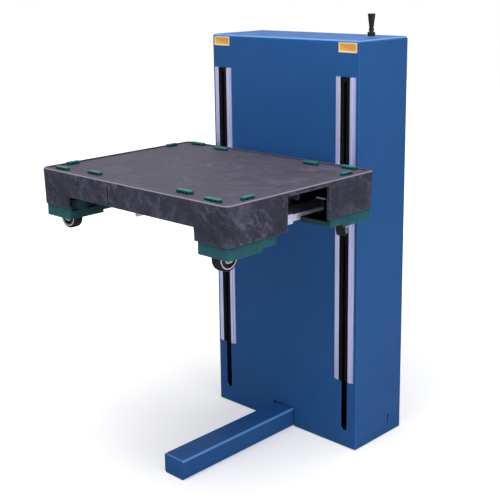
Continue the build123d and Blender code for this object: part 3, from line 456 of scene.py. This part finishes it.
def brush_fibre():
    material, tree, shader = new_material("seal_fibre", srgb(14, 15, 17), 0.8, specular=0.1)
    fibres = noise(tree, object_coords(tree, (0.02, 0.3, 1)), 2600, detail=2)
    tone = ramp(tree, fibres, ((0.3, srgb(6, 7, 8)), (0.75, srgb(24, 26, 30))))
    tree.links.new(tone, shader.inputs["Base Color"])
    set_bump(tree, shader, fibres, 0.5, 0.0004)
    return material


def plate_film(name, dark, light):
    material, tree, shader = new_material(name, light, 0.4, specular=0.4)
    place = object_coords(tree)
    tone = ramp(tree, noise(tree, place, 90, detail=6, roughness=0.65), ((0.3, dark), (0.7, light)))
    tree.links.new(tone, shader.inputs["Base Color"])
    set_bump(tree, shader, noise(tree, place, 500, detail=2), 0.08, 0.0002)
    return material


def make_materials():
    """One material per slot of the record, and the extra ones that the detailed pieces use."""
    along_z = (1, 1, 0.012)
    return {
        "blue_paint": blue_paint(),
        "base_paint": dark_primer(),
        "strip_aluminium": brushed_metal(
            "strip_aluminium", srgb(178, 181, 222), srgb(212, 214, 244), 0.42, along_z, 0.7),
        "seal_black": brush_fibre(),
        "marker_yellow": plate_film("marker_yellow", srgb(224, 160, 76), srgb(236, 176, 94)),
        "marker_border": plate_film("marker_border", srgb(240, 204, 148), srgb(246, 218, 172)),
        "zinc_steel": zinc_plate("zinc_steel", srgb(214, 210, 240), srgb(236, 232, 252), 0.42, 0.05),
        "bare_steel": brushed_metal("bare_steel", srgb(112, 114, 118), srgb(160, 162, 168), 0.4, along_z),
        "lift_screw_steel": screw_thread_steel(),
        "bearing_iron": cast_metal("bearing_iron", srgb(62, 66, 72), srgb(92, 96, 102), 0.6, 0.4, 240),
        "nut_bronze": cast_metal("nut_bronze", srgb(150, 112, 62), srgb(196, 152, 88), 0.35, 1.0, 500),
        "pulley_aluminium": cast_metal(
            "pulley_aluminium", srgb(168, 170, 174), srgb(206, 208, 212), 0.38, 0.9, 420),
        "belt_rubber": satin_plastic("belt_rubber", srgb(26, 26, 28), srgb(38, 38, 41), 0.75),
        "motor_paint": cast_metal("motor_paint", srgb(70, 76, 82), srgb(88, 94, 100), 0.5, 0.0, 260),
        "roller_nylon": satin_plastic("roller_nylon", srgb(214, 210, 198), srgb(234, 231, 222), 0.45),
        "box_grey": satin_plastic("box_grey", srgb(176, 178, 180), srgb(198, 200, 202), 0.5, 260),
        "black_plastic": satin_plastic("black_plastic", srgb(20, 20, 25), srgb(32, 32, 38), 0.36),
        "bezel_grey": brushed_metal(
            "bezel_grey", srgb(140, 150, 168), srgb(176, 186, 202), 0.4, (1, 0.03, 1), 0.6),
        "deck_plastic": regrind_plastic(),
        # For the pads and boots the last argument is the painted shade in their hollows, as reach and colour.
        "pad_green": satin_plastic(
            "pad_green", srgb(26, 100, 100), srgb(38, 122, 120), 0.55, 300, 0.0004,
            srgb(70, 150, 146), (0.01, srgb(6, 26, 27))),
        "boot_green": satin_plastic(
            "boot_green", srgb(18, 76, 84), srgb(31, 93, 99), 0.55, 320, 0.0004,
            srgb(80, 140, 142), (0.2, srgb(6, 20, 19))),
        "caster_zinc": zinc_plate("caster_zinc", srgb(146, 146, 158), srgb(200, 200, 210)),
        "tyre_black": satin_plastic("tyre_black", srgb(16, 15, 20), srgb(28, 26, 34), 0.68, 420, 0.0005),
        "hub_grey": satin_plastic("hub_grey", srgb(30, 30, 38), srgb(44, 43, 52), 0.5),
        "ring_pale": zinc_plate("ring_pale", srgb(206, 204, 220), srgb(238, 236, 246), 0.34, 0.3),
    }


def dress_nodes(materials):
    """Gives every CAD node the finish of its material slot."""
    for part in frame["record"]["subparts"]:
        node = NODES[part["node"]]
        node.data.materials.clear()
        node.data.materials.append(materials[part["material_slot"]])
    NODES["lift_screw"].data.materials[0] = materials["lift_screw_steel"]


def soften_edges(names, width):
    """Small rounds on the sharp edges of CAD nodes."""
    for name in names:
        bevel = NODES[name].modifiers.new("soft_edges", "BEVEL")
        bevel.width = width
        bevel.segments = EDGE_SEGMENTS
        bevel.limit_method = "ANGLE"
        bevel.angle_limit = EDGE_ANGLE
        bevel.harden_normals = True


def mesh_from(shape, name):
    bmesh.ops.recalc_face_normals(shape, faces=shape.faces)
    mesh = bpy.data.meshes.new(name)
    shape.to_mesh(mesh)
    shape.free()
    return mesh


def make_piece(name, shape, materials, body, replaced=()):
    """Makes a finished shape a piece that rides on a body."""
    mesh = mesh_from(shape, name)
    piece = bpy.data.objects.new(name, mesh)
    bpy.context.scene.collection.objects.link(piece)
    for material in materials:
        mesh.materials.append(material)
    mesh.shade_smooth()
    mesh.set_sharp_from_angle(angle=SHARP_ANGLE)
    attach(piece, body)
    if replaced:
        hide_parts(*replaced)


def add_box(shape, low, high):
    """Box between two corners. Returns its points."""
    verts = [
        shape.verts.new((x, y, z))
        for x in (low[0], high[0]) for y in (low[1], high[1]) for z in (low[2], high[2])
    ]
    for ids in ((0, 1, 3, 2), (4, 6, 7, 5), (0, 4, 5, 1), (2, 3, 7, 6), (0, 2, 6, 4), (1, 5, 7, 3)):
        shape.faces.new([verts[i] for i in ids])
    return verts


def add_lathe(shape, profile, place, steps=72):
    """Closed ring-shaped solid: profile is a loop of (radius, height), turned about the local Z of place."""
    rings = []
    for step in range(steps):
        turn = 2 * math.pi * step / steps
        across, along = math.cos(turn), math.sin(turn)
        points = [Vector((radius * across, radius * along, height)) for radius, height in profile]
        rings.append([shape.verts.new(place @ point) for point in points])
    count = len(profile)
    for step in range(steps):
        ring, following = rings[step], rings[(step + 1) % steps]
        for i in range(count):
            j = (i + 1) % count
            shape.faces.new((ring[i], ring[j], following[j], following[i]))


def add_seal_head(shape, centre, depth, heights):
    """Ribbed closing block above the slot, between the two clamps."""
    reach = SEAL_ROOT - SEAL_CLAMP
    front, back = depth
    bottom, top = heights
    add_box(shape, (centre - reach, front + HEAD_SUNK, bottom), (centre + reach, back, top))
    for rib in range(-1, 2):
        x = centre + rib * reach * HEAD_RIB_SPREAD
        low = (x - HEAD_RIB_HALF, front + HEAD_RIB_DEPTH[0], bottom + HEAD_RIB_MARGIN)
        high = (x + HEAD_RIB_HALF, front + HEAD_RIB_DEPTH[1], top - HEAD_RIB_MARGIN)
        add_box(shape, low, high)


def add_tufts(shape, edge, neck, lip, low, high, pitch):
    """Row of bristle tufts from a clamp towards the slot's middle, each bent a little at its lip."""
    left, right = min(neck, lip), max(neck, lip)
    i = 0
    while low.z + i * pitch <= high.z - SEAL_HEAD:
        z = low.z + i * pitch
        verts = add_box(
            shape,
            (left, low.y + TUFT_SUNK, z + TUFT_GAP / 2),
            (right, high.y - TUFT_SUNK, z + pitch - TUFT_GAP / 2),
        )
        away_from_ends = low.z + pitch < z < high.z - 2 * pitch
        for vert in verts:
            if abs(vert.co.x - lip) < SAME_PLACE:
                vert.co.y += TUFT_WAVE * math.sin(i * TUFT_WAVE_STEP + edge)
                if away_from_ends:
                    vert.co.z += TUFT_LEAN * math.sin(i * TUFT_LEAN_STEP)
        i += 1


def slot_seals(materials):
    """Bristle tufts held in a clamp along both edges of each slot."""
    low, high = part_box("slot_seals")
    length = high.z - low.z
    pitch = length / int(length / TUFT_PITCH)
    shape = bmesh.new()
    for slot_side in (-1, 1):
        centre = slot_side * SEAL_X
        add_seal_head(shape, centre, (low.y, high.y), (high.z - SEAL_HEAD + pitch, high.z))
        for edge in (-1, 1):
            root = centre + edge * SEAL_ROOT
            neck = root - edge * SEAL_CLAMP
            lip = centre + edge * SEAL_LIP
            add_box(shape, (min(root, neck), low.y, low.z), (max(root, neck), high.y, high.z))
            add_tufts(shape, edge, neck, lip, low, high, pitch)
    make_piece(
        "slot_seal_brushes", shape, [materials["seal_black"]], "column", ["slot_seals"])


def wheel_place(corner):
    """Matrix that puts local Z along the wheel's axle, at its centre."""
    joint = JOINTS[f"wheel_roll_{corner}"]
    turn = Vector((0, 0, 1)).rotation_difference(Vector(joint["axis"])).to_matrix().to_4x4()
    return Matrix.Translation(Vector(joint["pos_m"])) @ turn


def tyre_profile():
    """Tyre section as (radius, height): rounded shoulders, two tread grooves, a bead at the hub."""
    half_tread = TYRE_HALF - TYRE_ROUND
    groove_r = TYRE_R - GROOVE_DEPTH
    tread_r = TYRE_R - TREAD_DROP
    upper = [
        (groove_r, GROOVE_MIDDLE - GROOVE_HALF), (groove_r, GROOVE_MIDDLE + GROOVE_HALF),
        (tread_r, GROOVE_MIDDLE + GROOVE_LIP), (tread_r, half_tread),
    ]
    for step in range(1, SHOULDER_STEPS + 1):
        turn = math.radians(90 * step / SHOULDER_STEPS)
        radius = TYRE_R - TYRE_ROUND * (1 - math.cos(turn))
        upper.append((radius, half_tread + TYRE_ROUND * math.sin(turn)))
    upper += [
        (RING_OUT, TYRE_HALF), (RING_IN, TYRE_HALF), (TYRE_INNER_R + BEAD_W, TYRE_HALF - BEAD_DROP),
        (TYRE_INNER_R, TYRE_HALF - BEAD_DEPTH),
    ]
    lower = [(radius, -height) for radius, height in reversed(upper)]
    return [(TYRE_R, CROWN_HALF)] + upper + lower + [(TYRE_R, -CROWN_HALF)]


def hub_profile():
    """Hub section as (radius, height): rim, dished web and boss round the axle."""
    boss = HUB_BOSS_HALF - HUB_CAP_T
    upper = [
        (TYRE_INNER_R, HUB_FACE), (HUB_RIM_R, HUB_FACE), (HUB_WEB_OUT_R, HUB_FACE - HUB_WEB_OUT_DEPTH),
        (HUB_WEB_IN_R, HUB_FACE - HUB_WEB_IN_DEPTH), (HUB_CAP_R, HUB_FACE), (HUB_CAP_R, boss), (AXLE_R, boss),
    ]
    return upper + [(radius, -height) for radius, height in reversed(upper)]


def cap_profile(sign):
    """Bearing cap on the hub, dished towards the axle."""
    low = HUB_BOSS_HALF - HUB_CAP_T
    section = [
        (AXLE_R, low), (HUB_CAP_R, low), (HUB_CAP_R - CAP_TAPER, HUB_BOSS_HALF - CAP_SIDE_DROP),
        (HUB_BOSS_R + CAP_DOME_W, HUB_BOSS_HALF - CAP_DOME_DROP), (HUB_BOSS_R, HUB_BOSS_HALF),
        (AXLE_R, HUB_BOSS_HALF),
    ]
    return [(radius, sign * height) for radius, height in section]


def ring_profile(sign):
    """Pale ring let into the tyre's side, a little proud of it."""
    base = sign * TYRE_HALF
    crown = sign * (TYRE_HALF + RING_PROUD)
    root = base - sign * RING_SUNK
    inner, outer = RING_IN + RING_BEVEL, RING_OUT - RING_BEVEL
    return [(RING_IN, base), (inner, crown), (outer, crown), (RING_OUT, base), (outer, root), (inner, root)]


def turned_piece(name, profiles, place, finish, body, replaced=()):
    """Piece made of sections turned about one axle."""
    shape = bmesh.new()
    for profile in profiles:
        add_lathe(shape, profile, place)
    make_piece(name, shape, [finish], body, replaced)


def caster_wheel(corner, materials):
    place = wheel_place(corner)
    body = f"wheel_{corner}"
    trims = [section(sign) for sign in (-1, 1) for section in (ring_profile, cap_profile)]
    turned_piece(
        f"tyre_{corner}", [tyre_profile()], place, materials["tyre_black"], body,
        [f"caster_tyre_{corner}"])
    turned_piece(
        f"hub_{corner}", [hub_profile()], place, materials["hub_grey"], body,
        [f"caster_hub_{corner}"])
    turned_piece(f"wheel_ring_{corner}", trims, place, materials["ring_pale"], body)


def rounded_rectangle(width, height, radius, steps=5):
    points = []
    for corner, (sx, sy) in enumerate(((1, 1), (-1, 1), (-1, -1), (1, -1))):
        for step in range(steps + 1):
            turn = math.radians(90 * corner + 90 * step / steps)
            x = sx * (width / 2 - radius) + radius * math.cos(turn)
            y = sy * (height / 2 - radius) + radius * math.sin(turn)
            points.append((x, y))
    return points


def add_marker_plate(shape, centre, size, front, back):
    """Blank plate on the front panel with a pale border round a plain field."""
    def loop(inset, y):
        radius = max(PLATE_ROUND - inset, PLATE_LEAST_ROUND)
        outline = rounded_rectangle(size[0] - 2 * inset, size[1] - 2 * inset, radius)
        return [shape.verts.new((centre[0] + x, y, centre[1] + z)) for x, z in outline]

    loops = [
        loop(0, back), loop(0, front + PLATE_BEVEL), loop(PLATE_BEVEL, front), loop(PLATE_BORDER, front),
        loop(PLATE_BORDER + FIELD_SLOPE, front + FIELD_SUNK),
    ]
    for outer, inner in zip(loops, loops[1:]):
        for i in range(len(outer)):
            j = (i + 1) % len(outer)
            shape.faces.new((outer[i], outer[j], inner[j], inner[i]))
    shape.faces.new(loops[0])
    shape.faces.new(loops[-1]).material_index = FIELD_FINISH


def marker_plates(materials):
    low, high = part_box("marker_plates")
    size = (PLATE_W, high.z - low.z)
    shape = bmesh.new()
    for x in (low.x + PLATE_W / 2, high.x - PLATE_W / 2):
        add_marker_plate(shape, (x, (low.z + high.z) / 2), size, low.y, high.y)
    finishes = [materials["marker_border"], materials["marker_yellow"]]
    make_piece("blank_plates", shape, finishes, "column", ["marker_plates"])


def rear_place(x, z):
    """Matrix that stands local Z on the rear panel's face, pointing backwards."""
    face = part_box("rear_panel")[1].y
    return Matrix.Translation(Vector((x, face, z))) @ Matrix.Rotation(math.radians(-90), 4, "X")


def add_socket_screw(shape, place):
    """Domed head with a hexagon socket, on the local Z of place."""
    socket_floor = SCREW_HEAD_T - SCREW_SOCKET_DEPTH
    profile = [
        (SCREW_SOCKET_R, socket_floor), (SCREW_SOCKET_R, SCREW_HEAD_T),
        *((SCREW_HEAD_R * share, SCREW_HEAD_T - drop) for share, drop in SCREW_DOME),
        (SCREW_HEAD_R, 0.0), (SCREW_SOCKET_R, 0.0),
    ]
    add_lathe(shape, profile, place, SCREW_STEPS)
    floor = []
    for corner in range(6):
        turn = math.radians(60 * corner)
        point = Vector((SCREW_SOCKET_R * math.cos(turn), SCREW_SOCKET_R * math.sin(turn), socket_floor))
        floor.append(shape.verts.new(place @ point))
    shape.faces.new(floor)


def cover_screws(materials):
    low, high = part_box("cover_screws")
    pitch = (high.z - low.z - 2 * SCREW_HEAD_R) / (SCREW_ROWS - 1)
    shape = bmesh.new()
    for x in (low.x + SCREW_HEAD_R, high.x - SCREW_HEAD_R):
        for row in range(SCREW_ROWS):
            add_socket_screw(shape, rear_place(x, low.z + SCREW_HEAD_R + row * pitch))
    make_piece(
        "cover_screw_heads", shape, [materials["zinc_steel"]], "column", ["cover_screws"])


def add_gland_ribs(shape, place):
    """Grip ribs round the dome nut."""
    for rib in range(GLAND_RIBS):
        spin = Matrix.Rotation(2 * math.pi * rib / GLAND_RIBS, 4, "Z")
        low = (GLAND_R * GLAND_RIB_REACH[0], -GLAND_RIB_HALF, GLAND_HEX_T + GLAND_RIB_ENDS[0])
        high = (GLAND_R * GLAND_RIB_REACH[1], GLAND_RIB_HALF, GLAND_OUT - GLAND_RIB_ENDS[1])
        for vert in add_box(shape, low, high):
            vert.co = place @ (spin @ vert.co)


def cable_gland(materials):
    """Gland on the rear panel: hexagon base, ribbed dome nut, open throat and a thread behind."""
    low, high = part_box("cable_gland")
    place = rear_place((low.x + high.x) / 2, (low.z + high.z) / 2)
    flat_r = GLAND_R * GLAND_FLAT_SHARE
    dome_r = GLAND_R * GLAND_DOME[0][0]
    hexagon = [
        (GLAND_BORE_R, 0.0), (flat_r, 0.0), (GLAND_R, GLAND_BEVEL), (GLAND_R, GLAND_HEX_T - GLAND_BEVEL),
        (flat_r, GLAND_HEX_T), (GLAND_BORE_R, GLAND_HEX_T),
    ]
    dome = [
        (GLAND_BORE_R, GLAND_HEX_T), (dome_r, GLAND_HEX_T),
        *((GLAND_R * share, GLAND_OUT - drop) for share, drop in GLAND_DOME),
        (GLAND_BORE_R, GLAND_OUT),
    ]
    inner = low.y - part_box("rear_panel")[1].y
    thread = [
        (GLAND_BORE_R, inner), (THREAD_R - THREAD_LEAD_R, inner), (THREAD_R, inner + THREAD_LEAD),
        (THREAD_R, 0.0), (GLAND_BORE_R, 0.0),
    ]
    shape = bmesh.new()
    add_lathe(shape, hexagon, place, 6)
    add_lathe(shape, dome, place, GLAND_DOME_STEPS)
    add_gland_ribs(shape, place)
    add_lathe(shape, thread, place, THREAD_STEPS)
    make_piece(
        "cable_gland_body", shape, [materials["black_plastic"]], "column", ["cable_gland"])


def add_lamp(name, place, target, width, height, power):
    lamp = bpy.data.lights.new(name, "AREA")
    lamp.shape = "RECTANGLE"
    lamp.size = width
    lamp.size_y = height
    lamp.energy = power
    holder = bpy.data.objects.new(name, lamp)
    holder.location = place
    holder.rotation_euler = (Vector(target) - Vector(place)).to_track_quat("-Z", "Y").to_euler()
    bpy.context.scene.collection.objects.link(holder)


def studio_world():
    """White where the camera or a reflection looks, and a plain grey level as ambient light."""
    world = bpy.data.worlds.new("studio")
    bpy.context.scene.world = world
    world.use_nodes = True
    tree = world.node_tree
    tree.nodes.clear()
    path = add_node(tree, "ShaderNodeLightPath")
    seen = path.outputs["Is Camera Ray"]
    for ray in ("Is Glossy Ray", "Is Transmission Ray"):
        either = add_node(tree, "ShaderNodeMath", operation="MAXIMUM")
        tree.links.new(seen, either.inputs[0])
        tree.links.new(path.outputs[ray], either.inputs[1])
        seen = either.outputs["Value"]
    ambient = add_node(tree, "ShaderNodeBackground", {"Color": WHITE, "Strength": AMBIENT_LEVEL})
    white = add_node(tree, "ShaderNodeBackground", {"Color": WHITE, "Strength": WHITE_LEVEL})
    chosen = add_node(tree, "ShaderNodeMixShader")
    output = add_node(tree, "ShaderNodeOutputWorld")
    tree.links.new(seen, chosen.inputs["Fac"])
    tree.links.new(ambient.outputs["Background"], chosen.inputs[1])
    tree.links.new(white.outputs["Background"], chosen.inputs[2])
    tree.links.new(chosen.outputs["Shader"], output.inputs["Surface"])


def floor_material():
    """Pale matt floor, with a glow for the camera alone that grows with the distance from the part."""
    material = bpy.data.materials.new("studio_floor")
    material.use_nodes = True
    tree = material.node_tree
    tree.nodes.clear()
    surface = add_node(tree, "ShaderNodeBsdfDiffuse", {"Color": FLOOR_COLOR})
    glow = add_node(tree, "ShaderNodeEmission", {"Color": WHITE})
    path = add_node(tree, "ShaderNodeLightPath")
    coords = add_node(tree, "ShaderNodeTexCoord")
    distance = add_node(tree, "ShaderNodeVectorMath", operation="LENGTH")
    tree.links.new(coords.outputs["Object"], distance.inputs[0])
    fade = between(tree, distance.outputs["Value"], *FLOOR_FADE, *FLOOR_GLOW)
    strength = product(tree, fade, path.outputs["Is Camera Ray"])
    tree.links.new(strength, glow.inputs["Strength"])
    both = add_node(tree, "ShaderNodeAddShader")
    output = add_node(tree, "ShaderNodeOutputMaterial")
    tree.links.new(surface.outputs["BSDF"], both.inputs[0])
    tree.links.new(glow.outputs["Emission"], both.inputs[1])
    tree.links.new(both.outputs["Shader"], output.inputs["Surface"])
    return material


def studio_floor():
    """Pale floor that reads as white to the camera and keeps the soft shadow."""
    shape = bmesh.new()
    bmesh.ops.create_grid(shape, x_segments=1, y_segments=1, size=FLOOR_HALF)
    mesh = mesh_from(shape, "studio_floor")
    mesh.materials.append(floor_material())
    floor = bpy.data.objects.new("studio_floor", mesh)
    bpy.context.scene.collection.objects.link(floor)


def photo_camera():
    azimuth = math.radians(CAMERA_AZIMUTH)
    elevation = math.radians(CAMERA_ELEVATION)
    roll = math.radians(CAMERA_ROLL)
    reach = math.cos(elevation)
    back = Vector((math.sin(azimuth) * reach, -math.cos(azimuth) * reach, math.sin(elevation)))
    level = Vector((math.cos(azimuth), math.sin(azimuth), 0))
    upright = back.cross(level)
    right = level * math.cos(roll) + upright * math.sin(roll)
    up = upright * math.cos(roll) - level * math.sin(roll)
    lens = bpy.data.cameras.new("photo_camera")
    lens.sensor_width = CAMERA_SENSOR
    lens.lens = CAMERA_LENS
    lens.shift_y = CAMERA_SHIFT_Y
    camera = bpy.data.objects.new("photo_camera", lens)
    turn = Matrix((right, up, back)).transposed().to_4x4()
    camera.matrix_world = Matrix.Translation(Vector(CAMERA_PLACE)) @ turn
    bpy.context.scene.collection.objects.link(camera)
    bpy.context.scene.camera = camera


materials = make_materials()
dress_nodes(materials)
soften_edges(["fork_left", "fork_right", "carriage_side_left", "carriage_side_right"], FORK_EDGE)
soften_edges(["dolly_grip_pads"], PAD_EDGE)
slot_seals(materials)
for corner in CORNERS:
    caster_wheel(corner, materials)
marker_plates(materials)
cover_screws(materials)
cable_gland(materials)
for lamp in LAMPS:
    add_lamp(*lamp)
studio_world()
studio_floor()
photo_camera()
bpy.context.scene.view_settings.view_transform = "Standard"
